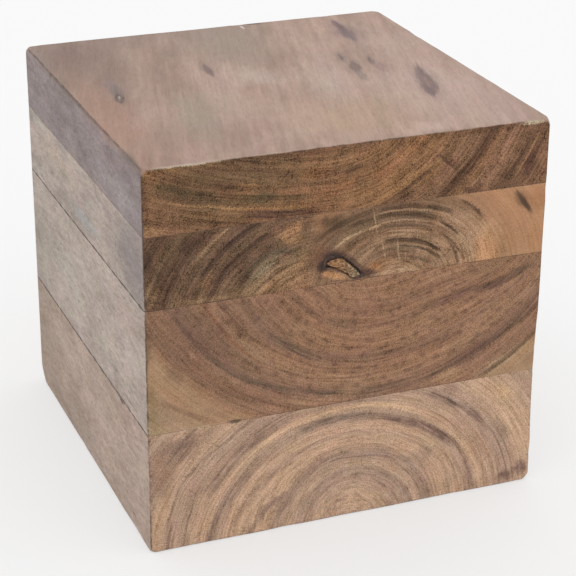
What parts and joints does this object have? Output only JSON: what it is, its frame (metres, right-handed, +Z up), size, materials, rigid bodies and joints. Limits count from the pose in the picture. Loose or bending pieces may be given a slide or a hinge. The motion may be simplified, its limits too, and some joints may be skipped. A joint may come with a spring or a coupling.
{
  "type": "wooden cube",
  "caption": "Solid timber cube of boards glued face to face, with end grain on its front and back, used as a low stool, side table or plinth.",
  "frame": {"origin": "middle of the base, on the surface that the cube stands on", "axes": "+Z up, +X to the right as seen from the front, +Y from the front to the back along the grain of every board"},
  "size_m": [0.25, 0.25, 0.24],
  "materials": {
    "bottom_timber": "sanded and waxed, satin",
    "lower_timber": "sanded and waxed, satin",
    "upper_timber": "sanded and waxed, satin",
    "top_timber": "sanded and waxed, satin"
  },
  "bodies": {
    "root": {"bottom_board": "bottom_timber", "lower_board": "lower_timber", "upper_board": "upper_timber", "top_board": "top_timber"}
  },
  "joints": []
}
